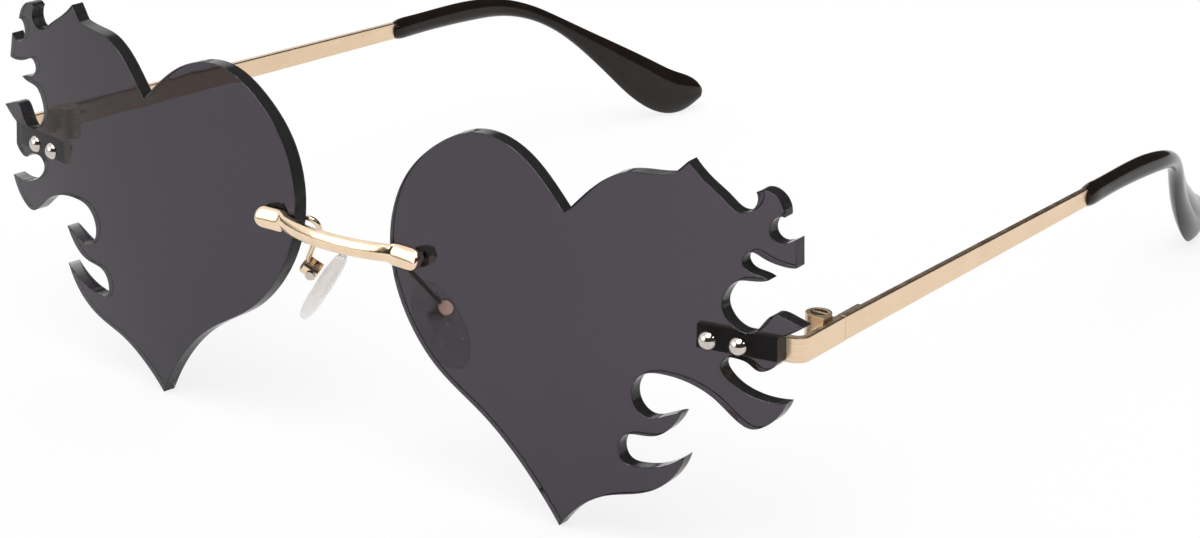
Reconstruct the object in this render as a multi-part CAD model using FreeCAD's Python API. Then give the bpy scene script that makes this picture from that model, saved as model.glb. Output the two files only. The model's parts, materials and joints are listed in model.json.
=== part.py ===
import FreeCAD, Part
import math
import os

# Rimless sunglasses in millimetres: +X to the wearer's left, -Y to the front, +Z up.
# Two curved heart lenses with flame-cut outer edges are screwed to a bridge and two endpieces,
# and the temples fold on screw hinges. The glasses rest on the heart tips and the temple tips.
# Each piece is built for the left side, with the lens screws at height zero, and then mirrored.

Vector = FreeCAD.Vector
Placement = FreeCAD.Placement
Rotation = FreeCAD.Rotation

across = Vector(1, 0, 0)
rearward = Vector(0, 1, 0)
upright = Vector(0, 0, 1)
centre = Vector(0, 0, 0)

# General clearances
seat_gap = 0.03
nut_gap = 0.06
fit_gap = 0.02
running_gap = 0.05
overrun = 1.0
rest_lean = 2.0

# Lens sheet
lens_width = 66.0
lens_height = 56.5
lens_gap = 18.3
lens_thickness = 2.2
lens_curve_radius = 200.0
lens_wrap = 4.94
screw_line_share = 0.583
lens_crown_shares = (0.5, 0.52)

# Lens outline, across and up the lens, from the cleft round the outer edge and back.
# Each run starts where the last one ended, and a run of one point is a straight edge.
cleft_share = (0.458, 0.819)
lens_side_share = 0.950
outline_shares = [
    # top lobe
    [(0.487, 0.855), (0.536, 0.910), (0.598, 0.948), (0.658, 0.956), (0.700, 0.963)],
    # peak
    [(0.731, 1.000)],
    # hollow down to the curl
    [(0.770, 0.961), (0.816, 0.926), (0.850, 0.903), (0.873, 0.910), (0.885, 0.932), (0.881, 0.956)],
    # back of the curl
    [(0.902, 0.964), (0.923, 0.955), (0.938, 0.936), (0.944, 0.908)],
    # round notch under the curl
    [(0.932, 0.908), (0.919, 0.893), (0.918, 0.865), (0.935, 0.848), (0.955, 0.851), (0.972, 0.862)],
    # blunt end of the first flame
    [(0.977, 0.795)],
    # slit
    [
        (0.938, 0.796), (0.905, 0.807), (0.880, 0.815), (0.864, 0.795), (0.875, 0.773), (0.898, 0.765),
        (0.922, 0.756),
    ],
    # deep notch above the third flame
    [
        (0.882, 0.747), (0.856, 0.741), (0.833, 0.709), (0.827, 0.683), (0.839, 0.649), (0.867, 0.625),
        (0.893, 0.623), (0.916, 0.651), (0.938, 0.676), (0.964, 0.672), (1.000, 0.657),
    ],
    # underside of the third flame
    [(0.973, 0.636), (0.948, 0.621)],
    # straight edge beside the endpiece
    [(lens_side_share, 0.560)],
    # notch above the fourth flame
    [
        (0.934, 0.541), (0.909, 0.533), (0.887, 0.548), (0.863, 0.554), (0.844, 0.552), (0.830, 0.534),
        (0.844, 0.502), (0.878, 0.476), (0.922, 0.463), (0.971, 0.464),
    ],
    # long notch above the fifth flame
    [
        (0.957, 0.431), (0.932, 0.401), (0.897, 0.384), (0.861, 0.403), (0.818, 0.442), (0.760, 0.470),
        (0.701, 0.477), (0.655, 0.464), (0.633, 0.424), (0.641, 0.380), (0.666, 0.359), (0.704, 0.369),
        (0.745, 0.388),
    ],
    # notch above the sixth flame
    [
        (0.725, 0.349), (0.690, 0.316), (0.650, 0.307), (0.616, 0.298), (0.600, 0.262), (0.612, 0.227),
        (0.645, 0.222), (0.705, 0.241), (0.753, 0.278),
    ],
    # sweep down to the heart tip
    [
        (0.734, 0.230), (0.696, 0.182), (0.645, 0.150), (0.568, 0.122), (0.512, 0.084), (0.471, 0.040),
        (0.443, 0.000),
    ],
    # inner side and inner lobe
    [
        (0.410, 0.060), (0.359, 0.137), (0.251, 0.250), (0.136, 0.333), (0.065, 0.419), (0.014, 0.534),
        (0.000, 0.650), (0.034, 0.795), (0.115, 0.899), (0.226, 0.959), (0.335, 0.937), (0.409, 0.876),
        cleft_share,
    ],
]

# Lens screws, bushes and nuts
screw_inset = 10.05
screw_pitch = 4.4
screw_radius = 0.6
screw_head_radius = 1.3
screw_head_height = 0.8
bush_wall = 0.3
nut_flats = 2.4
nut_height = 0.8
nut_cap_height = 0.5
nut_bore_depth = 0.9

# Gold strip of the endpieces and temples
strip_thickness = 1.0
strip_edge = 0.14
endpiece_height = 3.6
plate_inset = 12.35
plate_touch_along = 72.0
bend_inner_radius = 1.0
seam_spread = 72.9
seam_depth = 21.9
seam_gap = 0.08
temple_toe_in = 3.44
temple_start_top = 1.8
temple_start_foot = 1.75
temple_end_top = 0.5
temple_end_foot = 2.3
temple_length = 70.8
core_radius = 0.45
core_length = 18.0

# Hinge
knuckle_radius = 1.8
knuckle_clearance = 0.1
knuckle_half_height = 2.4
middle_knuckle_half = 0.7
knuckle_slot_gap = 0.06
hinge_setback = 2.2
leaf_thickness = 0.6
leaf_half_height = 1.5
front_leaf_length = 6.4
rear_leaf_length = 7.0
hinge_screw_radius = 0.7
hinge_head_radius = 1.25
hinge_head_height = 0.5
hinge_slot_width = 0.35
hinge_slot_depth = 0.25

# Temple tip: the path and the sections are shares of these
tip_reach = 70.0
tip_inset = 11.5
tip_drop = 23.9
paddle_height = 8.2
paddle_thickness = 2.7
# share of the reach, of the inset, of the drop, of the height and of the thickness
tip_station_shares = [
    (0.000, 0.000, 0.000, 0.30, 0.70),
    (0.015, 0.000, 0.000, 0.41, 0.92),
    (0.050, 0.000, 0.000, 0.45, 0.96),
    (0.300, 0.000, 0.018, 0.44, 0.95),
    (0.400, 0.022, 0.060, 0.37, 0.92),
    (0.486, 0.135, 0.140, 0.31, 0.91),
    (0.557, 0.274, 0.252, 0.31, 0.92),
    (0.643, 0.465, 0.429, 0.47, 0.95),
    (0.743, 0.657, 0.654, 0.78, 0.98),
    (0.829, 0.774, 0.839, 0.98, 1.00),
    (0.900, 0.865, 0.949, 0.98, 0.98),
    (0.964, 0.943, 0.984, 0.72, 0.80),
    (1.000, 1.000, 1.000, 0.26, 0.36),
]

# Bridge
post_along = 14.2
post_height = 1.25
post_radius = 0.6
lug_height = 2.9
lug_reach = 3.75
lug_thickness = 1.6
lug_edge = 0.3
bar_bow = 2.0
bar_height = 2.4
bar_depth = 1.7
bar_lift = 0.95
bar_bury = 0.3
# share of the bar's depth towards the rear, and of its height
bar_section_shares = [
    (-0.50, 0.00),
    (-0.22, 0.50),
    (0.30, 0.50),
    (0.50, 0.25),
    (0.50, -0.25),
    (0.30, -0.50),
    (-0.22, -0.50),
]

# Pad arm
eyelet_radius = 1.5
eyelet_thickness = 0.9
arm_radius = 0.42
arm_bend_radius = 1.3
arm_loop_spread = 6.3
arm_loop_depth = 6.5
arm_start_reach = 1.05

# Nose pad, its insert, box and screw
pad_spread = 11.6
pad_depth = 12.4
pad_fall = 11.5
pad_lean = 34.7
pad_splay = 27.0
pad_hang = 1.6
pad_length = 13.6
pad_width = 6.8
pad_thickness = 2.4
# share of the thickness from the middle, and of the length and the width
pad_section_shares = [(-0.50, 0.76), (0.00, 1.00), (0.50, 0.76)]
pad_stand_off = 2.4
box_radius = 1.4
box_edge = 0.3
box_mouth = 0.8
box_top = 1.9
tab_thickness = 1.0
tab_radius = 0.8
tab_side_gap = 0.08
tab_end_gap = 0.15
insert_length = 5.6
insert_width = 3.0
insert_thickness = 0.8
pad_screw_radius = 0.4
pad_screw_head_radius = 0.7
pad_screw_head_height = 0.5


def placed(shape, placement):
    """Copy of a shape at a placement."""
    return shape.transformed(placement.toMatrix(), True)


def prism(points, direction):
    """Solid swept straight from a closed polygon."""
    return Part.Face(Part.makePolygon(points + points[:1])).extrude(direction)


def block(low, high):
    """Box between two corners."""
    size = high - low
    return Part.makeBox(size.x, size.y, size.z, low)


def rod(start, end, radius):
    """Round bar from point to point."""
    run = end - start
    return Part.makeCylinder(radius, run.Length, start, run)


def dome(radius, height):
    """Ball cap with its flat side at zero."""
    ball_radius = (radius**2 + height**2) / (2 * height)
    ball = Part.makeSphere(ball_radius, Vector(0, 0, height - ball_radius))
    return ball.common(Part.makeCylinder(ball_radius, height))


def oval(middle, end, side):
    """Closed ring of four arcs, near an ellipse, from the vectors to its end and to its side."""
    slant_share = math.sqrt(0.5)
    rim = [end, (end + side) * slant_share, side, (side - end) * slant_share]
    rim = [middle + step for step in rim] + [middle - step for step in rim]
    rim.append(rim[0])
    return Part.Wire([Part.Arc(*rim[first : first + 3]).toShape() for first in range(0, 8, 2)])


def tangent_path(points, radius):
    """Straight runs joined by tangent arcs of one radius."""
    edges = []
    start = points[0]
    for before, corner, after in zip(points, points[1:], points[2:]):
        arriving = (corner - before).normalize()
        leaving = (after - corner).normalize()
        turn = arriving.getAngle(leaving)
        trim = radius * math.tan(turn / 2)
        inward = (leaving - arriving).normalize()
        middle = corner + inward * (radius / math.cos(turn / 2) - radius)
        arc_start = corner - arriving * trim
        arc_end = corner + leaving * trim
        edges.append(Part.LineSegment(start, arc_start).toShape())
        edges.append(Part.Arc(arc_start, middle, arc_end).toShape())
        start = arc_end
    edges.append(Part.LineSegment(start, points[-1]).toShape())
    return edges


# Places on the lens
screw_line_height = screw_line_share * lens_height
lens_side_along = lens_gap / 2 + lens_side_share * lens_width
# the screws keep inside the lens's side edge and inside the endpiece's bend
anchor_along = min(lens_side_along, seam_spread)
first_screw_along = anchor_along - screw_inset
plate_inner_along = anchor_along - plate_inset
lens_turn = Placement(centre, Rotation(upright, lens_wrap))
crown_along = lens_gap / 2 + lens_crown_shares[0] * lens_width
crown_height = lens_crown_shares[1] * lens_height - screw_line_height
lens_centre = Vector(crown_along, lens_curve_radius, crown_height)


def lens_depth(along, height, radius):
    """Depth of a lens surface of the given radius behind the crown of the front face."""
    aside = math.hypot(along - crown_along, height - crown_height)
    return lens_curve_radius - math.sqrt(radius**2 - aside**2)


def lens_seat(along, height):
    """Frame on the front face of the lens: X along the lens, Y up, Z out to the front."""
    spot = Vector(along, lens_depth(along, height, lens_curve_radius), height)
    outward = (spot - lens_centre).normalize()
    return lens_turn.multiply(Placement(spot, Rotation(across, upright, outward, "ZXY")))


screw_seats = [lens_seat(first_screw_along + step * screw_pitch, 0) for step in range(2)]
post_seat = lens_seat(post_along, post_height)
screw_bush_radius = screw_radius + fit_gap + bush_wall
post_bush_radius = post_radius + fit_gap + bush_wall


def outline_point(shares):
    """Point of the lens outline in the lens's own upright plane."""
    along = lens_gap / 2 + shares[0] * lens_width
    return Vector(along, -overrun, shares[1] * lens_height - screw_line_height)


def lens():
    """Outline cut from a spherical shell, with its bush holes."""
    edges = []
    start = outline_point(cleft_share)
    for run in outline_shares:
        points = [start] + [outline_point(shares) for shares in run]
        curve = Part.BSplineCurve()
        curve.interpolate(points)
        edges.append(curve.toShape())
        start = points[-1]
    blank = Part.Face(Part.Wire(edges)).extrude(rearward * (lens_curve_radius / 2))
    sheet = blank.common(Part.makeSphere(lens_curve_radius, lens_centre))
    sheet = sheet.cut(Part.makeSphere(lens_curve_radius - lens_thickness, lens_centre))
    sheet = placed(sheet, lens_turn)
    holes = [(seat, screw_bush_radius) for seat in screw_seats] + [(post_seat, post_bush_radius)]
    for seat, radius in holes:
        sheet = sheet.cut(seat_rod(seat, overrun, -lens_thickness - overrun, radius + fit_gap))
    return sheet


def seat_rod(seat, start, end, radius):
    """Round bar along the normal of a seat, between two heights over the lens face."""
    return placed(rod(Vector(0, 0, start), Vector(0, 0, end), radius), seat)


def bush(seat, bore_radius, outer_radius):
    """Plastic tube that fills the hole through the lens."""
    tube = seat_rod(seat, -seat_gap, seat_gap - lens_thickness, outer_radius)
    return tube.cut(seat_rod(seat, overrun, -lens_thickness - overrun, bore_radius))


def cap_nut(seat, depth, bore_radius):
    """Six-sided nut with a closed domed end, at a depth behind the lens face."""
    corner_radius = nut_flats / math.sqrt(3)
    turns = [math.radians(60 * side) for side in range(6)]
    corners = [Vector(corner_radius * math.cos(turn), corner_radius * math.sin(turn), 0) for turn in turns]
    nut = prism(corners, upright * nut_height)
    cap = dome(nut_flats / 2, nut_cap_height)
    nut = nut.fuse(placed(cap, Placement(upright * nut_height, Rotation())))
    nut = nut.cut(Part.makeCylinder(bore_radius + fit_gap, nut_bore_depth + fit_gap))
    flip = Placement(upright * -depth, Rotation(across, 180))
    return placed(nut, seat.multiply(flip))


# Endpiece and hinge places, seen from above
temple_turn = Rotation(upright, temple_toe_in)
temple_place = Placement(Vector(seam_spread, seam_depth, 0), temple_turn)
hinge_across = -(strip_thickness + knuckle_clearance + knuckle_radius)
hinge_axis = Vector(hinge_across, -hinge_setback, 0)


def behind_lens(along):
    """Point just clear of the rear of the lens over the endpiece's height."""
    rear_radius = lens_curve_radius - lens_thickness
    edge_heights = (-endpiece_height / 2, endpiece_height / 2)
    depth = max(lens_depth(along, height, rear_radius) for height in edge_heights)
    return lens_turn.multVec(Vector(along, depth + seat_gap, 0))


plate_run = (behind_lens(plate_touch_along) - behind_lens(plate_inner_along)).normalize()
plate_normal = upright.cross(plate_run)
plate_start = behind_lens(plate_inner_along)
plate_rise = (behind_lens(lens_side_along) - plate_start).dot(plate_normal)
plate_start += plate_normal * max(0, plate_rise)
arm_end = temple_place.multVec(centre)
arm_run = temple_turn.multVec(rearward)


def plate_rear_depth(seat):
    """Depth of the plate's rear face behind the lens face, along a screw."""
    inward = seat.Rotation.multVec(-upright)
    rear_face = plate_start + plate_normal * strip_thickness
    return (rear_face - seat.Base).dot(plate_normal) / inward.dot(plate_normal)


def endpiece():
    """Strip that lies behind the lens and bends back to the hinge."""
    aside = (arm_end - plate_start).cross(arm_run).z / plate_run.cross(arm_run).z
    corner = plate_start + plate_run * aside
    outer_radius = bend_inner_radius + strip_thickness
    outer = tangent_path([plate_start, corner, arm_end], outer_radius)
    arm_normal = upright.cross(arm_run)
    inner_start = plate_start + plate_normal * strip_thickness
    inner_end = arm_end + arm_normal * strip_thickness
    half_turn = plate_run.getAngle(arm_run) / 2
    mitre = strip_thickness / math.cos(half_turn)
    inner_corner = corner + (plate_normal + arm_normal).normalize() * mitre
    inner = tangent_path([inner_start, inner_corner, inner_end], bend_inner_radius)
    ends = [Part.LineSegment(plate_start, inner_start).toShape()]
    ends.append(Part.LineSegment(arm_end, inner_end).toShape())
    outline = Part.Wire(Part.__sortEdges__(outer + inner + ends))
    strip = Part.Face(outline).extrude(upright * endpiece_height)
    strip.translate(upright * (-endpiece_height / 2))
    rims = [edge for edge in strip.Edges if abs(edge.CenterOfMass.z) > strip_edge]
    strip = strip.makeChamfer(strip_edge, rims)
    for seat in screw_seats:
        depth = plate_rear_depth(seat) + overrun
        strip = strip.cut(seat_rod(seat, overrun, -depth, screw_radius + fit_gap))
    return strip


def lens_screw(seat):
    """Dome-headed screw from the front of the lens into its nut."""
    head = placed(dome(screw_head_radius, screw_head_height), Placement(upright * seat_gap, Rotation()))
    tail = plate_rear_depth(seat) + nut_gap + nut_bore_depth
    return placed(head, seat).fuse(seat_rod(seat, seat_gap, -tail, screw_radius))


def lens_nut(seat):
    """Nut of a lens screw, behind the endpiece plate."""
    return cap_nut(seat, plate_rear_depth(seat) + nut_gap, screw_radius)


# Hinge, built in the temple's frame: X out, Y to the rear, seam at zero
leaf_face = -strip_thickness
knuckle_slot = middle_knuckle_half + knuckle_slot_gap


def hinge_rod(foot, top, radius):
    """Round bar on the hinge axis between two heights."""
    return rod(hinge_axis + upright * foot, hinge_axis + upright * top, radius)


def leaf_plate(start, end):
    """Plate of a leaf on the strip's inner face, rounded at the far end."""
    half = leaf_half_height
    inner = leaf_face - leaf_thickness
    reach = math.copysign(half, end - start)
    low = min(start, end - reach)
    high = max(start, end - reach)
    plate = block(Vector(inner, low, -half), Vector(leaf_face, high, half))
    middle = Vector(inner, end - reach, 0)
    return plate.fuse(rod(middle, middle + across * leaf_thickness, half))


def hinge_front():
    """Forked leaf on the endpiece with the upper and lower knuckles."""
    leaf = leaf_plate(-knuckle_clearance, -front_leaf_length)
    web_low = hinge_axis + Vector(0, -knuckle_radius, -knuckle_half_height)
    web_high = Vector(leaf_face - knuckle_clearance, hinge_axis.y, knuckle_half_height)
    leaf = leaf.fuse(hinge_rod(-knuckle_half_height, knuckle_half_height, knuckle_radius))
    leaf = leaf.fuse(block(web_low, web_high))
    foot = block(
        Vector(leaf_face - leaf_thickness, hinge_axis.y - knuckle_radius, -leaf_half_height),
        Vector(leaf_face, hinge_axis.y, leaf_half_height),
    )
    leaf = leaf.fuse(foot)
    slot_reach = knuckle_radius + running_gap
    slot_low = hinge_axis + Vector(-slot_reach - overrun, -slot_reach, -knuckle_slot)
    slot_high = Vector(leaf_face, overrun, knuckle_slot)
    leaf = leaf.cut(block(slot_low, slot_high))
    bore_foot = -knuckle_half_height - overrun
    leaf = leaf.cut(hinge_rod(bore_foot, knuckle_half_height, hinge_screw_radius + fit_gap))
    head_foot = knuckle_half_height - hinge_head_height - fit_gap
    leaf = leaf.cut(hinge_rod(head_foot, knuckle_half_height + overrun, hinge_head_radius + fit_gap))
    return leaf.removeSplitter()


def hinge_rear():
    """Leaf on the temple with the middle knuckle."""
    leaf = leaf_plate(seam_gap, rear_leaf_length)
    web_low = hinge_axis + Vector(0, 0, -middle_knuckle_half)
    web_high = Vector(leaf_face - knuckle_clearance, leaf_half_height, middle_knuckle_half)
    leaf = leaf.fuse(hinge_rod(-middle_knuckle_half, middle_knuckle_half, knuckle_radius))
    leaf = leaf.fuse(block(web_low, web_high))
    bore = hinge_rod(-knuckle_half_height, knuckle_half_height, hinge_screw_radius + running_gap)
    return leaf.cut(bore).removeSplitter()


def hinge_screw():
    """Slotted screw, flush in the upper knuckle and tight in the lower one."""
    head_foot = knuckle_half_height - hinge_head_height
    screw = hinge_rod(-knuckle_half_height, head_foot, hinge_screw_radius)
    screw = screw.fuse(hinge_rod(head_foot, knuckle_half_height, hinge_head_radius))
    slot_foot = hinge_axis + upright * (knuckle_half_height - hinge_slot_depth)
    half_slot = Vector(hinge_head_radius + overrun, hinge_slot_width / 2, 0)
    return screw.cut(block(slot_foot - half_slot, slot_foot + half_slot + upright * overrun))


def temple():
    """Tapered strip with a round core that goes into the tip."""
    side = [
        Vector(-strip_thickness, seam_gap, -temple_start_foot),
        Vector(-strip_thickness, seam_gap, temple_start_top),
        Vector(-strip_thickness, temple_length, temple_end_top),
        Vector(-strip_thickness, temple_length, -temple_end_foot),
    ]
    strip = prism(side, across * strip_thickness)
    long_edges = [edge for edge in strip.Edges if edge.BoundBox.YLength > temple_length / 2]
    strip = strip.makeChamfer(strip_edge, long_edges)
    return strip.fuse(temple_core(core_radius, core_length))


core_start = Vector(-strip_thickness / 2, temple_length, (temple_end_top - temple_end_foot) / 2)
tip_start = core_start + rearward * seat_gap


def temple_core(radius, length):
    """Round core behind the end of the strip."""
    return rod(core_start, core_start + rearward * length, radius)


def temple_tip():
    """Bent moulded tip with a flat paddle end and a socket for the core."""
    middles = []
    for back, inset, drop, _, _ in tip_station_shares:
        middles.append(tip_start + Vector(-inset * tip_inset, back * tip_reach, -drop * tip_drop))
    path = Part.BSplineCurve()
    path.interpolate(middles)
    sections = []
    for middle, shares in zip(middles, tip_station_shares):
        heading = path.tangent(path.parameter(middle))[0]
        rising = (upright - heading * upright.dot(heading)).normalize()
        top = rising * (shares[3] * paddle_height / 2)
        side = heading.cross(rising) * (shares[4] * paddle_thickness / 2)
        sections.append(oval(middle, top, side))
    tip = Part.makeLoft(sections, True, False)
    return tip.cut(temple_core(core_radius + fit_gap, core_length + fit_gap))


# Bridge, its bushes and nuts
bridge_nut_depth = lens_thickness + seat_gap + eyelet_thickness + nut_gap


def bridge():
    """Lugs on the lens fronts, joined by a bar that bows forward, with posts through the lenses."""
    half = lug_height / 2
    lug = block(Vector(-lug_reach, -half, seat_gap), Vector(0, half, lug_thickness))
    lug = lug.fuse(rod(Vector(0, 0, seat_gap), Vector(0, 0, lug_thickness), half)).removeSplitter()
    rim = [edge for edge in lug.Edges if edge.BoundBox.ZMin > lug_thickness - seat_gap]
    lug = placed(lug.makeChamfer(lug_edge, rim), post_seat)
    post = seat_rod(post_seat, seat_gap, -bridge_nut_depth - nut_bore_depth, post_radius)
    side = lug.fuse(post)

    bar_end = post_seat.multVec(Vector(-lug_reach, 0, bar_lift))
    bow_radius = (bar_end.x**2 + bar_bow**2) / (2 * bar_bow)
    bar_middle = Vector(0, bar_end.y - bar_bow, bar_end.z)
    pivot = bar_middle + rearward * bow_radius
    half_turn = math.degrees(math.asin((bar_end.x + bar_bury) / bow_radius))
    section = []
    for deep, high in bar_section_shares:
        section.append(bar_middle + Vector(0, deep * bar_depth, high * bar_height))
    face = Part.Face(Part.makePolygon(section + section[:1]))
    face.rotate(pivot, upright, -half_turn)
    bar = face.revolve(pivot, upright, 2 * half_turn)
    return bar.fuse([side, mirrored(side)]).removeSplitter()


def bridge_nut():
    """Nut that clamps the pad arm's eyelet on the bridge post."""
    return cap_nut(post_seat, bridge_nut_depth, post_radius)


# Nose pad frame: X down the pad, Y to its rear edge, Z away from the nose, screw axis at zero
pad_down = Vector(math.sin(math.radians(pad_lean)), 0, -math.cos(math.radians(pad_lean)))
pad_back = Vector(math.sin(math.radians(pad_splay)), math.cos(math.radians(pad_splay)), 0)
pad_turn = Rotation(pad_down, pad_back, centre, "XYZ")
pad_middle = Vector(pad_spread, pad_depth, -pad_fall)
pad_place = Placement(pad_middle - pad_turn.multVec(Vector(pad_hang, 0, -pad_stand_off)), pad_turn)
slot_half = tab_thickness / 2 + tab_side_gap
slot_top = tab_radius + tab_end_gap


def pad_arm():
    """Eyelet, bent wire and slotted round box in one piece."""
    eyelet_top = -lens_thickness - seat_gap
    eyelet_foot = eyelet_top - eyelet_thickness
    arm = seat_rod(post_seat, eyelet_top, eyelet_foot, eyelet_radius)
    arm_start = post_seat.multVec(Vector(-arm_start_reach, 0, (eyelet_top + eyelet_foot) / 2))
    loop = Vector(arm_loop_spread, arm_loop_depth, arm_start.z)
    arm_end_point = pad_place.multVec(upright * ((slot_top + box_top) / 2))
    path = Part.Wire(tangent_path([arm_start, loop, arm_end_point], arm_bend_radius))
    section = Part.Wire(Part.makeCircle(arm_radius, arm_start, loop - arm_start))
    wire = path.makePipeShell([section], True, False)
    box = rod(upright * -box_mouth, upright * box_top, box_radius)
    box = box.makeChamfer(box_edge, [edge for edge in box.Edges if edge.BoundBox.ZMin > 0])
    arm = arm.fuse([wire, placed(box, pad_place)])
    slot_reach = box_radius + overrun
    slot_foot = -box_mouth - overrun
    slot = block(Vector(-slot_reach, -slot_half, slot_foot), Vector(slot_reach, slot_half, slot_top))
    arm = arm.cut(placed(slot, pad_place))
    arm = arm.cut(placed(pad_bar(pad_screw_radius + fit_gap, slot_reach), pad_place))
    return arm.cut(seat_rod(post_seat, 0, eyelet_foot - overrun, post_radius + fit_gap)).removeSplitter()


def pad_bar(radius, reach):
    """Round bar along the pad screw, both ways from its middle."""
    return rod(rearward * -reach, rearward * reach, radius)


def pad_screw():
    """Small screw through the box and the pad's tab."""
    head_foot = -box_radius - seat_gap
    head = rod(rearward * head_foot, rearward * (head_foot - pad_screw_head_height), pad_screw_head_radius)
    shank = rod(rearward * head_foot, rearward * box_radius, pad_screw_radius)
    return placed(shank.fuse(head), pad_place)


def pad_insert():
    """Tab on the screw with the plate that is moulded into the pad."""
    half = tab_thickness / 2
    tab = rod(rearward * -half, rearward * half, tab_radius)
    stem = block(Vector(-tab_radius, -half, -pad_stand_off), Vector(tab_radius, half, 0))
    corner = Vector(insert_length / 2, insert_width / 2, insert_thickness / 2)
    middle = upright * -pad_stand_off
    plate = block(middle - corner, middle + corner)
    insert = tab.fuse([stem, plate])
    insert = insert.cut(pad_bar(pad_screw_radius + running_gap, overrun)).removeSplitter()
    return placed(insert, pad_place)


def nose_pad():
    """Crowned oval pad moulded round its insert."""
    sections = []
    for level, size in pad_section_shares:
        middle = Vector(pad_hang, 0, level * pad_thickness - pad_stand_off)
        sections.append(oval(middle, across * (size * pad_length / 2), rearward * (size * pad_width / 2)))
    pad = placed(Part.makeLoft(sections, True, False), pad_place)
    return pad.cut(pad_insert())


def mirrored(shape):
    """Right-hand twin of a left-hand shape."""
    return shape.mirror(centre, across)


def in_temple(shape):
    """Shape carried from the temple's frame to the front's."""
    return placed(shape, temple_place)


def left_pieces():
    """Every piece of the left side by name."""
    return {
        "lens": lens(),
        "lens_screws": Part.makeCompound([lens_screw(seat) for seat in screw_seats]),
        "lens_bushes": Part.makeCompound(
            [bush(seat, screw_radius + fit_gap, screw_bush_radius) for seat in screw_seats]
        ),
        "lens_nuts": Part.makeCompound([lens_nut(seat) for seat in screw_seats]),
        "endpiece": endpiece(),
        "hinge_front": in_temple(hinge_front()),
        "hinge_screw": in_temple(hinge_screw()),
        "hinge_rear": in_temple(hinge_rear()),
        "temple": in_temple(temple()),
        "temple_tip": in_temple(temple_tip()),
        "bridge_bush": bush(post_seat, post_radius + fit_gap, post_bush_radius),
        "bridge_nut": bridge_nut(),
        "pad_arm": pad_arm(),
        "pad_screw": pad_screw(),
        "pad_insert": pad_insert(),
        "nose_pad": nose_pad(),
    }


def settle(pieces):
    """Lean everything onto the heart tips and temple tips, over the middle of the floor."""
    lean = Placement(centre, Rotation(across, -rest_lean))
    leaned = {name: placed(shape, lean) for name, shape in pieces.items()}
    boxes = [shape.optimalBoundingBox(False, False) for shape in leaned.values()]
    foot = min(box.ZMin for box in boxes)
    middle = (min(box.YMin for box in boxes) + max(box.YMax for box in boxes)) / 2
    rest = Placement(Vector(0, -middle, -foot), Rotation(across, -rest_lean))
    return rest, {name: placed(shape, rest) for name, shape in pieces.items()}


pieces = {"bridge": bridge()}
for name, shape in left_pieces().items():
    pieces[name + "_left"] = shape
    pieces[name + "_right"] = mirrored(shape)
rest, settled = settle(pieces)

os.makedirs("parts", exist_ok=True)
for name, shape in settled.items():
    shape.exportStep("parts/" + name + ".step")

print("hinge axis at", rest.multVec(temple_place.multVec(hinge_axis)))
print("hinge axis along", rest.Rotation.multVec(upright))
print("pad screw at", rest.multVec(pad_place.Base))
print("pad screw along", rest.Rotation.multVec(pad_turn.multVec(rearward)))
print("screw line at", rest.multVec(centre))
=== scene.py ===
import json
import math

import bmesh
import bpy
from mathutils import Matrix, Vector

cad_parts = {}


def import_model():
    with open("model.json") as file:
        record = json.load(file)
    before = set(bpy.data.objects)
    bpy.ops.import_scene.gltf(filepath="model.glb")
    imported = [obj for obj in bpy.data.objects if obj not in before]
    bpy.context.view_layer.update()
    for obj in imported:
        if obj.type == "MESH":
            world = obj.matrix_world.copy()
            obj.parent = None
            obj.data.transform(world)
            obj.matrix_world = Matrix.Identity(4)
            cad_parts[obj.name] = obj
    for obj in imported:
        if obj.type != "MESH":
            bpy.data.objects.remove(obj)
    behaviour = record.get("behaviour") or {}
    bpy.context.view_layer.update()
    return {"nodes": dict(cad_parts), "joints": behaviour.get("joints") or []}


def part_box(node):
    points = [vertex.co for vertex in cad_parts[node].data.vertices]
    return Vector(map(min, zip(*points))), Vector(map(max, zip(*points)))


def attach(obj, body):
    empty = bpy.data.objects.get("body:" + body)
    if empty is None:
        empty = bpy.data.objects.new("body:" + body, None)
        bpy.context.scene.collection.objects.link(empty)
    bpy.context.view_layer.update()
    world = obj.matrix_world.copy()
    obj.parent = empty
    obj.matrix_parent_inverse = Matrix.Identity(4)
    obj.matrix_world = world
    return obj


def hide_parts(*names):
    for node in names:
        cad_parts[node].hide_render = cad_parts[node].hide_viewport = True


# Heart shaped sunglasses in the frame of the CAD part: metres, with the wearer's left at +X
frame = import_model()
cad_nodes = frame["nodes"]
joints = {joint["name"]: joint for joint in frame["joints"]}
sides = ("left", "right")

# Camera: its place from the left hinge in metres, its turn in degrees, its lens in millimetres
camera_from_hinge = Vector((0.232483, -0.345448, 0.172861))
camera_azimuth = 37.909
camera_elevation = 21.565
camera_roll = -0.264
camera_focal_length = 101.96
camera_sensor_width = 36.0
camera_near = 0.01

# Light: brightness, and the sun's spread and tilt in degrees
backdrop_strength = 1.0
ambient_strength = 0.55
sun_strength = 1.7
sun_spread = 50.0
sun_tilt = (20.0, 12.0, 0.0)

# Dark room and the cards in it, seen only in reflections
room_strength = 0.05
# The cards fade in between these heights of a unit direction
card_foot_low = 0.02
card_foot_high = 0.14
# Each card: direction, half width and soft edge in degrees, brightness
cards = [
    # white wall to the wearer's right
    ((-0.91, -0.26, 0.30), 61.0, 6.0, 1.1),
    # soft box in front
    ((-0.45, -0.82, 0.36), 20.0, 6.0, 2.2),
    # lamp to the wearer's left
    ((0.80, 0.07, 0.60), 2.5, 1.0, 12.0),
]

# Floor
floor_size = 6.0
floor_white = 0.97
floor_roughness = 0.9
floor_glow = 1.0
floor_glow_share = 0.8
floor_gloss_share = 0.4

# All finishes: grains are counts per metre along each axis, colours and roughness run between two values
noise_detail = 3.0
noise_low = 0.3
noise_high = 0.7
edge_samples = 6
plastic_index = 1.5

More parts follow.
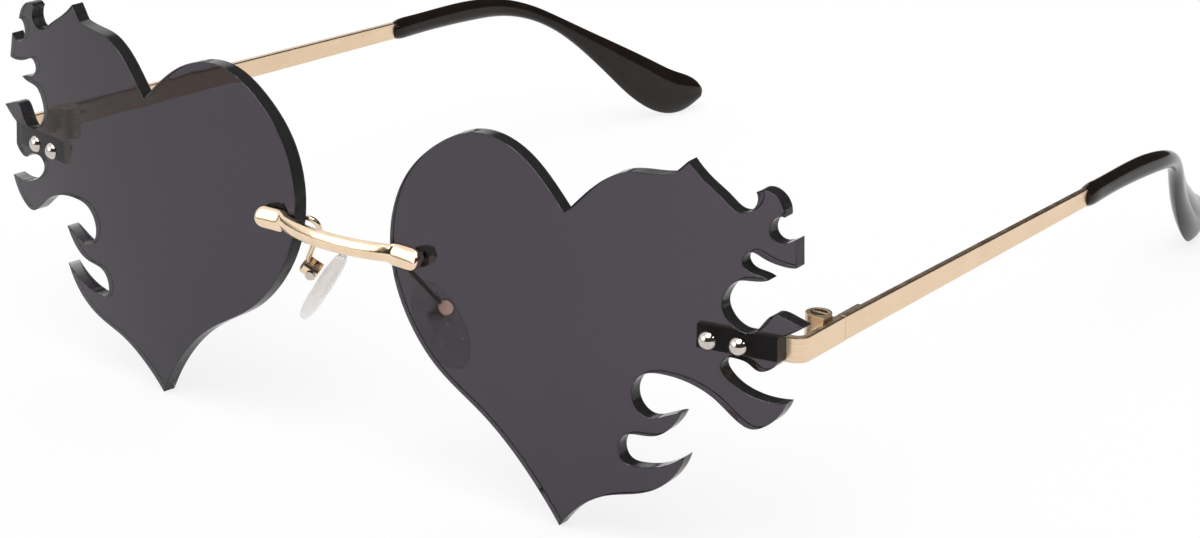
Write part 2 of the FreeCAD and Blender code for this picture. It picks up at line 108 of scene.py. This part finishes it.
# Satin gold
satin_cloud_grain = (160, 160, 160)
satin_colours = ((0.80, 0.60, 0.41, 1), (0.84, 0.64, 0.45, 1))
satin_brush_grain = (90, 90, 9000)
satin_roughness = (0.26, 0.38)
satin_relief_depth = 0.00001
satin_relief_strength = 0.15
satin_edge_radius = 0.00015

# Polished gold
polished_cloud_grain = (400, 400, 400)
polished_colours = ((0.82, 0.62, 0.43, 1), (0.88, 0.69, 0.50, 1))
polished_wear_grain = (1500, 1500, 1500)
polished_roughness = (0.06, 0.14)
polished_edge_radius = 0.0001

# Chrome
chrome_grain = (1800, 1800, 1800)
chrome_colours = ((0.55, 0.50, 0.45, 1), (0.62, 0.56, 0.51, 1))
chrome_roughness = (0.05, 0.12)

# Black tip
tip_gloss_level = 0.25
tip_grain = (260, 260, 260)
tip_colours = ((0.010, 0.007, 0.005, 1), (0.014, 0.010, 0.008, 1))
tip_roughness = (0.07, 0.13)
tip_edge_radius = 0.0004

# Bush
bush_clear_share = 0.6
bush_grain = (900, 900, 900)
bush_colours = ((0.80, 0.80, 0.79, 1), (0.90, 0.90, 0.89, 1))
bush_roughness = (0.2, 0.4)

# Pad insert: its index is taken against the silicone round it
insert_index = 1.06
insert_grain = (900, 900, 900)
insert_colours = ((0.92, 0.92, 0.91, 1), (0.98, 0.98, 0.97, 1))
insert_roughness = (0.02, 0.10)

# Lens: gloss is a surface's share of plain plastic's reflection, whites are the levels of its colour
weld_distance = 0.000001
lens_rim_width = 0.00009
lens_face_share = 0.7
lens_sharp_angle = 35.0
lens_tint = (0.072, 0.026, 0.089, 1)
lens_density = 1200.0
face_slot, wall_slot, rim_slot = range(3)
face_clear_share = 1.0
face_gloss = 0.25
face_grain = (60, 60, 60)
face_whites = (0.97, 1.0)
# The cut walls are set darker than the faces as painted shade on the edges: low whites in their colour and
# no reflection. Their grain gives faint marks across the thickness.
wall_clear_share = 0.96
wall_gloss = 0.0
wall_grain = (2500, 60, 2500)
wall_whites_with_painted_shade = (0.45, 0.65)
wall_roughness = (0.04, 0.12)
rim_clear_share = 1.0
rim_gloss = 1.0
rim_grain = (900, 900, 900)
rim_whites = (0.97, 1.0)
rim_roughness = (0.15, 0.25)

# Bridge
bridge_grid = 0.00015
bridge_smooth_share = 0.5
bridge_smooth_rounds = 30
# Added to the height beforehand, for what the smoothing takes off
bridge_shrink_share = 0.08
# Each lug reaches from its post toward the middle, and its front leans back at the top by the crown
lug_reach = 0.00375
lug_thickness = 0.0016
lug_crown = 0.0009
lug_crown_start = 0.0005
# Where the lean begins, as a share of the half height above the bridge's middle
lug_crown_foot_share = -0.4

# Nose pad
pad_ring_steps = 48
pad_profile_steps = 18
pad_roundness = 2.8
pad_egg_share = 0.10
pad_clear_share = 0.86
pad_index = 1.12
pad_grain = (500, 500, 500)
pad_colours = ((0.95, 0.94, 0.93, 1), (1, 1, 1, 1))
pad_roughness = (0.18, 0.28)
pad_tint = (0.70, 0.62, 0.58, 1)
pad_density = 90.0


def camera():
    """Camera at the photograph's place, following the left hinge."""
    azimuth = math.radians(camera_azimuth)
    elevation = math.radians(camera_elevation)
    roll = math.radians(camera_roll)
    back = Vector((
        math.sin(azimuth) * math.cos(elevation),
        -math.cos(azimuth) * math.cos(elevation),
        math.sin(elevation),
    ))
    level = Vector((math.cos(azimuth), math.sin(azimuth), 0))
    right = level * math.cos(roll) + back.cross(level) * math.sin(roll)
    turn = Matrix((right, back.cross(right), back)).transposed()
    data = bpy.data.cameras.new("camera")
    data.lens = camera_focal_length
    data.sensor_width = camera_sensor_width
    data.clip_start = camera_near
    viewer = bpy.data.objects.new("camera", data)
    place = Vector(joints["temple_left_fold"]["pos_m"]) + camera_from_hinge
    viewer.matrix_world = Matrix.Translation(place) @ turn.to_4x4()
    bpy.context.collection.objects.link(viewer)
    bpy.context.scene.camera = viewer


# Shader helpers
def grey(level):
    """Opaque grey of a level from 0 to 1."""
    return (level, level, level, 1)


def shader_node(tree, kind, values=None, **settings):
    """New shader node with its settings and unlinked socket values."""
    made = tree.nodes.new(kind)
    for name, value in settings.items():
        setattr(made, name, value)
    for name, value in (values or {}).items():
        made.inputs[name].default_value = value
    return made


def main_shader(material):
    """Principled shader of a material."""
    return material.node_tree.nodes["Principled BSDF"]


def surface(name, values):
    """New material with the socket values of its Principled shader."""
    material = bpy.data.materials.new(name)
    material.use_nodes = True
    for socket, value in values.items():
        main_shader(material).inputs[socket].default_value = value
    return material


def feed(material, output, socket):
    """Link an output to a socket of the material's Principled shader."""
    material.node_tree.links.new(output, main_shader(material).inputs[socket])


def noise(tree, grain):
    """Noise in the piece's own metres."""
    place = shader_node(tree, "ShaderNodeTexCoord")
    mapping = shader_node(tree, "ShaderNodeMapping", {"Scale": grain})
    made = shader_node(tree, "ShaderNodeTexNoise", {"Scale": 1.0, "Detail": noise_detail})
    tree.links.new(place.outputs["Object"], mapping.inputs["Vector"])
    tree.links.new(mapping.outputs["Vector"], made.inputs["Vector"])
    return made.outputs["Fac"]


def vary_colour(material, grain, colours):
    """Base colour that runs between two colours across the middle of a noise."""
    tree = material.node_tree
    ramp = shader_node(tree, "ShaderNodeValToRGB")
    low, high = ramp.color_ramp.elements
    low.position = noise_low
    low.color = colours[0]
    high.position = noise_high
    high.color = colours[1]
    tree.links.new(noise(tree, grain), ramp.inputs["Fac"])
    feed(material, ramp.outputs["Color"], "Base Color")


def vary_roughness(material, grain, roughness):
    """Roughness that runs between two values across the middle of a noise."""
    tree = material.node_tree
    low, high = roughness
    limits = {"From Min": noise_low, "From Max": noise_high, "To Min": low, "To Max": high}
    spread = shader_node(tree, "ShaderNodeMapRange", limits)
    tree.links.new(noise(tree, grain), spread.inputs["Value"])
    feed(material, spread.outputs["Result"], "Roughness")


def broken_edges(tree, radius):
    """Normal that shades the edges as if broken to a radius in metres."""
    return shader_node(tree, "ShaderNodeBevel", {"Radius": radius}, samples=edge_samples).outputs["Normal"]


def absorb(material, tint, density):
    """Body that takes up light on its way through."""
    tree = material.node_tree
    body = shader_node(tree, "ShaderNodeVolumeAbsorption", {"Color": tint, "Density": density})
    tree.links.new(body.outputs["Volume"], tree.nodes["Material Output"].inputs["Volume"])


# Finishes
def satin_gold():
    """Champagne plating brushed along the strips."""
    material = surface("satin_gold", {"Metallic": 1.0})
    vary_colour(material, satin_cloud_grain, satin_colours)
    vary_roughness(material, satin_brush_grain, satin_roughness)
    tree = material.node_tree
    values = {"Strength": satin_relief_strength, "Distance": satin_relief_depth}
    relief = shader_node(tree, "ShaderNodeBump", values)
    tree.links.new(noise(tree, satin_brush_grain), relief.inputs["Height"])
    tree.links.new(broken_edges(tree, satin_edge_radius), relief.inputs["Normal"])
    feed(material, relief.outputs["Normal"], "Normal")
    return material


def polished_gold():
    """Mirror-bright champagne plating with faint wear."""
    material = surface("polished_gold", {"Metallic": 1.0})
    vary_colour(material, polished_cloud_grain, polished_colours)
    vary_roughness(material, polished_wear_grain, polished_roughness)
    feed(material, broken_edges(material.node_tree, polished_edge_radius), "Normal")
    return material


def chrome():
    """Bright, slightly warm plating of the screws and nuts."""
    material = surface("chrome", {"Metallic": 1.0})
    vary_colour(material, chrome_grain, chrome_colours)
    vary_roughness(material, chrome_grain, chrome_roughness)
    return material


def black_tip():
    """Glossy moulded black with faint polishing haze."""
    values = {"IOR": plastic_index, "Specular IOR Level": tip_gloss_level}
    material = surface("black_tip", values)
    vary_colour(material, tip_grain, tip_colours)
    vary_roughness(material, tip_grain, tip_roughness)
    feed(material, broken_edges(material.node_tree, tip_edge_radius), "Normal")
    return material


def clear_bush():
    """Clear moulded plastic of the bushes."""
    values = {"Transmission Weight": bush_clear_share, "IOR": plastic_index}
    material = surface("clear_bush", values)
    vary_colour(material, bush_grain, bush_colours)
    vary_roughness(material, bush_grain, bush_roughness)
    return material


def clear_insert():
    """Clear core moulded into the pad."""
    values = {"Transmission Weight": 1.0, "IOR": insert_index}
    material = surface("clear_insert", values)
    vary_colour(material, insert_grain, insert_colours)
    vary_roughness(material, insert_grain, insert_roughness)
    return material


def milky_pad():
    """Clear silicone with a milky depth."""
    values = {"Transmission Weight": pad_clear_share, "IOR": pad_index}
    material = surface("milky_pad", values)
    vary_colour(material, pad_grain, pad_colours)
    vary_roughness(material, pad_grain, pad_roughness)
    absorb(material, pad_tint, pad_density)
    return material


def tinted(name, clear_share, gloss, grain, whites):
    """Smooth clear surface over the lens's absorbing body."""
    values = {
        "Transmission Weight": clear_share,
        "IOR": plastic_index,
        "Specular Tint": grey(gloss),
        "Roughness": 0.0,
    }
    material = surface(name, values)
    vary_colour(material, grain, [grey(white) for white in whites])
    absorb(material, lens_tint, lens_density)
    return material


def lens_face():
    """Polished face of the lens, with little reflection."""
    return tinted("lens_face", face_clear_share, face_gloss, face_grain, face_whites)


def lens_wall():
    """Cut wall of the lens, with faint marks across its thickness, its colour darkened as painted shade.
    """
    material = tinted("lens_wall", wall_clear_share, wall_gloss, wall_grain, wall_whites_with_painted_shade)
    vary_roughness(material, wall_grain, wall_roughness)
    return material


def lens_rim():
    """Broken edge of the lens, which catches the light."""
    material = tinted("lens_rim", rim_clear_share, rim_gloss, rim_grain, rim_whites)
    vary_roughness(material, rim_grain, rim_roughness)
    return material


# Stage and light
def seen_rays(tree, gloss_share):
    """One for camera and transmission rays, which look at the background, and a share for glossy rays."""
    path = shader_node(tree, "ShaderNodeLightPath")
    gloss = shader_node(tree, "ShaderNodeMath", {1: gloss_share}, operation="MULTIPLY")
    either = shader_node(tree, "ShaderNodeMath", operation="MAXIMUM")
    seen = shader_node(tree, "ShaderNodeMath", operation="MAXIMUM")
    tree.links.new(path.outputs["Is Glossy Ray"], gloss.inputs[0])
    tree.links.new(path.outputs["Is Camera Ray"], either.inputs[0])
    tree.links.new(path.outputs["Is Transmission Ray"], either.inputs[1])
    tree.links.new(either.outputs["Value"], seen.inputs[0])
    tree.links.new(gloss.outputs["Value"], seen.inputs[1])
    return seen.outputs["Value"]


def card_mask(tree, toward, half_width, soft_edge):
    """One inside a cone round a direction, fading out over its soft edge and toward the table's edge."""
    ray = shader_node(tree, "ShaderNodeTexCoord")
    height = shader_node(tree, "ShaderNodeSeparateXYZ")
    foot_limits = {"From Min": card_foot_low, "From Max": card_foot_high}
    foot = shader_node(tree, "ShaderNodeMapRange", foot_limits)
    tree.links.new(ray.outputs["Generated"], height.inputs["Vector"])
    tree.links.new(height.outputs["Z"], foot.inputs["Value"])
    middle = Vector(toward).normalized()
    facing = shader_node(tree, "ShaderNodeVectorMath", {1: middle}, operation="DOT_PRODUCT")
    outer = math.cos(math.radians(half_width + soft_edge))
    inner = math.cos(math.radians(half_width))
    edge_limits = {"From Min": outer, "From Max": inner}
    mask = shader_node(tree, "ShaderNodeMapRange", edge_limits, interpolation_type="SMOOTHSTEP")
    tree.links.new(ray.outputs["Generated"], facing.inputs[0])
    tree.links.new(facing.outputs["Value"], mask.inputs["Value"])
    tree.links.new(foot.outputs["Result"], mask.inputs["To Max"])
    return mask.outputs["Result"]


def world():
    """White to the eye, a plain soft light on the object, and cards for its reflections."""
    made = bpy.data.worlds.new("studio")
    made.use_nodes = True
    tree = made.node_tree
    light = tree.nodes["Background"]
    light.inputs["Color"].default_value = grey(1)
    path = shader_node(tree, "ShaderNodeLightPath")
    room = shader_node(tree, "ShaderNodeMix", {"A": ambient_strength, "B": room_strength})
    tree.links.new(path.outputs["Is Glossy Ray"], room.inputs["Factor"])
    strength = room.outputs["Result"]
    for toward, half_width, soft_edge, brightness in cards:
        share = shader_node(tree, "ShaderNodeMath", operation="MULTIPLY")
        mixed = shader_node(tree, "ShaderNodeMix", {"B": brightness})
        tree.links.new(path.outputs["Is Glossy Ray"], share.inputs[0])
        tree.links.new(card_mask(tree, toward, half_width, soft_edge), share.inputs[1])
        tree.links.new(share.outputs["Value"], mixed.inputs["Factor"])
        tree.links.new(strength, mixed.inputs["A"])
        strength = mixed.outputs["Result"]
    white = shader_node(tree, "ShaderNodeMix", {"B": backdrop_strength})
    tree.links.new(seen_rays(tree, 0.0), white.inputs["Factor"])
    tree.links.new(strength, white.inputs["A"])
    tree.links.new(white.outputs["Result"], light.inputs["Strength"])
    bpy.context.scene.world = made


def floor():
    """Pale floor that glows a little, so that it is white and keeps a faint shadow."""
    mesh = bpy.data.meshes.new("floor")
    half = floor_size / 2
    corners = [(-half, -half, 0), (half, -half, 0), (half, half, 0), (-half, half, 0)]
    mesh.from_pydata(corners, [], [(0, 1, 2, 3)])
    sheet = bpy.data.objects.new("floor", mesh)
    bpy.context.collection.objects.link(sheet)
    values = {"Base Color": grey(floor_white), "Roughness": floor_roughness, "Specular IOR Level": 0.0}
    material = surface("floor", values)
    tree = material.node_tree
    glow = shader_node(tree, "ShaderNodeEmission", {"Strength": floor_glow})
    share = shader_node(tree, "ShaderNodeMath", {1: floor_glow_share}, operation="MULTIPLY")
    mixed = shader_node(tree, "ShaderNodeMixShader")
    tree.links.new(seen_rays(tree, floor_gloss_share), share.inputs[0])
    tree.links.new(share.outputs["Value"], mixed.inputs["Fac"])
    tree.links.new(main_shader(material).outputs["BSDF"], mixed.inputs[1])
    tree.links.new(glow.outputs["Emission"], mixed.inputs[2])
    tree.links.new(mixed.outputs["Shader"], tree.nodes["Material Output"].inputs["Surface"])
    mesh.materials.append(material)


def sun():
    """One broad soft lamp from above."""
    data = bpy.data.lights.new("sun", "SUN")
    data.energy = sun_strength
    data.angle = math.radians(sun_spread)
    lamp = bpy.data.objects.new("sun", data)
    lamp.rotation_euler = [math.radians(angle) for angle in sun_tilt]
    bpy.context.collection.objects.link(lamp)


# Pieces of the CAD part
def finish_node(name, material):
    """Material of one of the frame's own pieces."""
    cad_nodes[name].data.materials.clear()
    cad_nodes[name].data.materials.append(material)


# Pieces made here
def new_piece(name, mesh, body, node_name):
    """Piece that rides on a body and stands for a node."""
    piece = bpy.data.objects.new(name, mesh)
    bpy.context.collection.objects.link(piece)
    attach(piece, body)
    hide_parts(node_name)
    return piece


def finished_mesh(name, work, materials):
    """Mesh from the working mesh, with its materials."""
    mesh = bpy.data.meshes.new(name)
    work.to_mesh(mesh)
    work.free()
    for material in materials:
        mesh.materials.append(material)
    return mesh


def fine_grid(source):
    """Even fine mesh over a closed mesh."""
    holder = bpy.data.objects.new("grid", source)
    bpy.context.collection.objects.link(holder)
    grid = holder.modifiers.new("grid", "REMESH")
    grid.mode = "VOXEL"
    grid.voxel_size = bridge_grid
    grid.use_smooth_shade = True
    graph = bpy.context.evaluated_depsgraph_get()
    mesh = bpy.data.meshes.new_from_object(holder.evaluated_get(graph))
    bpy.data.objects.remove(holder)
    return mesh


def share_between(value, start, length):
    """Zero up to the start, one from the given length beyond it."""
    return min(max((value - start) / length, 0), 1)


def bridge_piece(material):
    """The bridge as a polished casting: crowned lugs and a bar that runs softly into them."""
    mesh = fine_grid(cad_nodes["bridge"].data)
    low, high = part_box("bridge")
    bush_low, bush_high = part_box("bridge_bush_left")
    lug_start = (bush_low.x + bush_high.x) / 2 - lug_reach
    middle = (low.z + high.z) / 2
    crown_foot = middle + lug_crown_foot_share * (high.z - middle)
    for corner in mesh.vertices:
        along = share_between(abs(corner.co.x), lug_start, lug_crown_start)
        ahead = share_between(-corner.co.y, -bush_low.y, lug_thickness)
        rise = share_between(corner.co.z, crown_foot, high.z - crown_foot)
        corner.co.y += lug_crown * along * ahead * rise**2
        corner.co.z += (corner.co.z - middle) * bridge_shrink_share
    mesh.materials.clear()
    mesh.materials.append(material)
    piece = new_piece("polished_bridge", mesh, "front", "bridge")
    polish = piece.modifiers.new("polish", "SMOOTH")
    polish.factor = bridge_smooth_share
    polish.iterations = bridge_smooth_rounds


def break_edges(work, width):
    """Narrow flat between each lens face and the cut wall, laid in the rim's material slot."""
    borders = [edge for edge in work.edges if len({face.material_index for face in edge.link_faces}) == 2]
    corners = [[tuple(corner.co) for corner in edge.verts] for edge in borders]
    bmesh.ops.split_edges(work, edges=borders)
    face_corner = {}
    wall_corner = {}
    for corner in work.verts:
        kinds = {face.material_index for face in corner.link_faces}
        home = wall_corner if kinds == {wall_slot} else face_corner
        home[tuple(corner.co)] = corner
    ends = {place for pair in corners for place in pair}
    moves = []
    for place in ends:
        flat, wall = face_corner[place], wall_corner[place]
        flat.normal_update()
        wall.normal_update()
        moves.append((flat, wall.normal.copy()))
        moves.append((wall, flat.normal.copy()))
    for corner, outward in moves:
        corner.co -= outward * width
    for start, end in corners:
        ring = [face_corner[start], face_corner[end], wall_corner[end], wall_corner[start]]
        work.faces.new(ring).material_index = rim_slot
    bmesh.ops.recalc_face_normals(work, faces=work.faces)


def lens_piece(side, materials):
    """The lens with narrowly broken edges: faces, cut walls and edge flats have their own finish."""
    work = bmesh.new()
    work.from_mesh(cad_nodes["lens_" + side].data)
    bmesh.ops.remove_doubles(work, verts=work.verts, dist=weld_distance)
    outward = Vector()
    for face in work.faces:
        if face.normal.y < -lens_face_share:
            outward += face.normal * face.calc_area()
    outward.normalize()
    for face in work.faces:
        is_face = abs(face.normal.dot(outward)) >= lens_face_share
        face.material_index = face_slot if is_face else wall_slot
        face.smooth = True
    break_edges(work, lens_rim_width)
    for edge in work.edges:
        edge.smooth = edge.calc_face_angle(0) < math.radians(lens_sharp_angle)
    mesh = finished_mesh("tinted_lens_" + side, work, materials)
    new_piece("tinted_lens_" + side, mesh, "front", "lens_" + side)


def pad_axes(side):
    """Unit vectors of a nose pad: down its length, to its rear and away from the nose."""
    insert = cad_nodes["pad_insert_" + side].data
    away = -max(insert.polygons, key=lambda face: face.area).normal
    rear = Vector(joints["pad_" + side + "_rock"]["axis"]).normalized()
    down = rear.cross(away)
    if down.z > 0:
        down.negate()
    return down, rear, away


def pad_ring(work, middle, spans, turn):
    """Ring of corners round the cushion, at a turn from its outer crown."""
    reach = math.sin(turn) ** (2 / pad_roundness)
    rise = math.copysign(abs(math.cos(turn)) ** (2 / pad_roundness), math.cos(turn))
    ring = []
    for part in range(pad_ring_steps):
        angle = 2 * math.pi * part / pad_ring_steps
        along = reach * math.cos(angle)
        aside = reach * math.sin(angle) * (1 + pad_egg_share * (along - 1) / 2)
        place = middle + (spans[0] * along + spans[1] * aside + spans[2] * rise)
        ring.append(work.verts.new(place))
    return ring


def nose_pad(side, material):
    """Moulded pad: an oval cushion with a full round rim, narrower at the top."""
    source = cad_nodes["nose_pad_" + side].data
    low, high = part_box("nose_pad_" + side)
    middle = (Vector(low) + Vector(high)) / 2
    spans = []
    for axis in pad_axes(side):
        spans.append(axis * max(abs((corner.co - middle).dot(axis)) for corner in source.vertices))
    work = bmesh.new()
    turns = [math.pi * step / pad_profile_steps for step in range(1, pad_profile_steps)]
    rings = [pad_ring(work, middle, spans, turn) for turn in turns]
    crowns = [work.verts.new(middle + spans[2]), work.verts.new(middle - spans[2])]
    for part in range(pad_ring_steps):
        after = (part + 1) % pad_ring_steps
        for ring, following in zip(rings, rings[1:]):
            work.faces.new((ring[part], ring[after], following[after], following[part]))
        for ring, crown in zip((rings[0], rings[-1]), crowns):
            work.faces.new((ring[part], ring[after], crown))
    bmesh.ops.recalc_face_normals(work, faces=work.faces)
    for face in work.faces:
        face.smooth = True
    mesh = finished_mesh("moulded_pad_" + side, work, [material])
    new_piece("moulded_pad_" + side, mesh, "pad_" + side, "nose_pad_" + side)


# Build
camera()
world()
floor()
sun()
gold = polished_gold()
finishes = [
    (satin_gold(), ["endpiece", "temple", "hinge_front", "hinge_rear"]),
    (gold, ["hinge_screw", "pad_arm"]),
    (chrome(), ["lens_screws", "lens_nuts", "pad_screw", "bridge_nut"]),
    (black_tip(), ["temple_tip"]),
    (clear_bush(), ["lens_bushes", "bridge_bush"]),
    (clear_insert(), ["pad_insert"]),
]
for material, names in finishes:
    for name in names:
        for side in sides:
            finish_node(name + "_" + side, material)
bridge_piece(gold)
lens_materials = [lens_face(), lens_wall(), lens_rim()]
silicone = milky_pad()
for side in sides:
    lens_piece(side, lens_materials)
    nose_pad(side, silicone)

bpy.context.scene.view_settings.view_transform = "Standard"
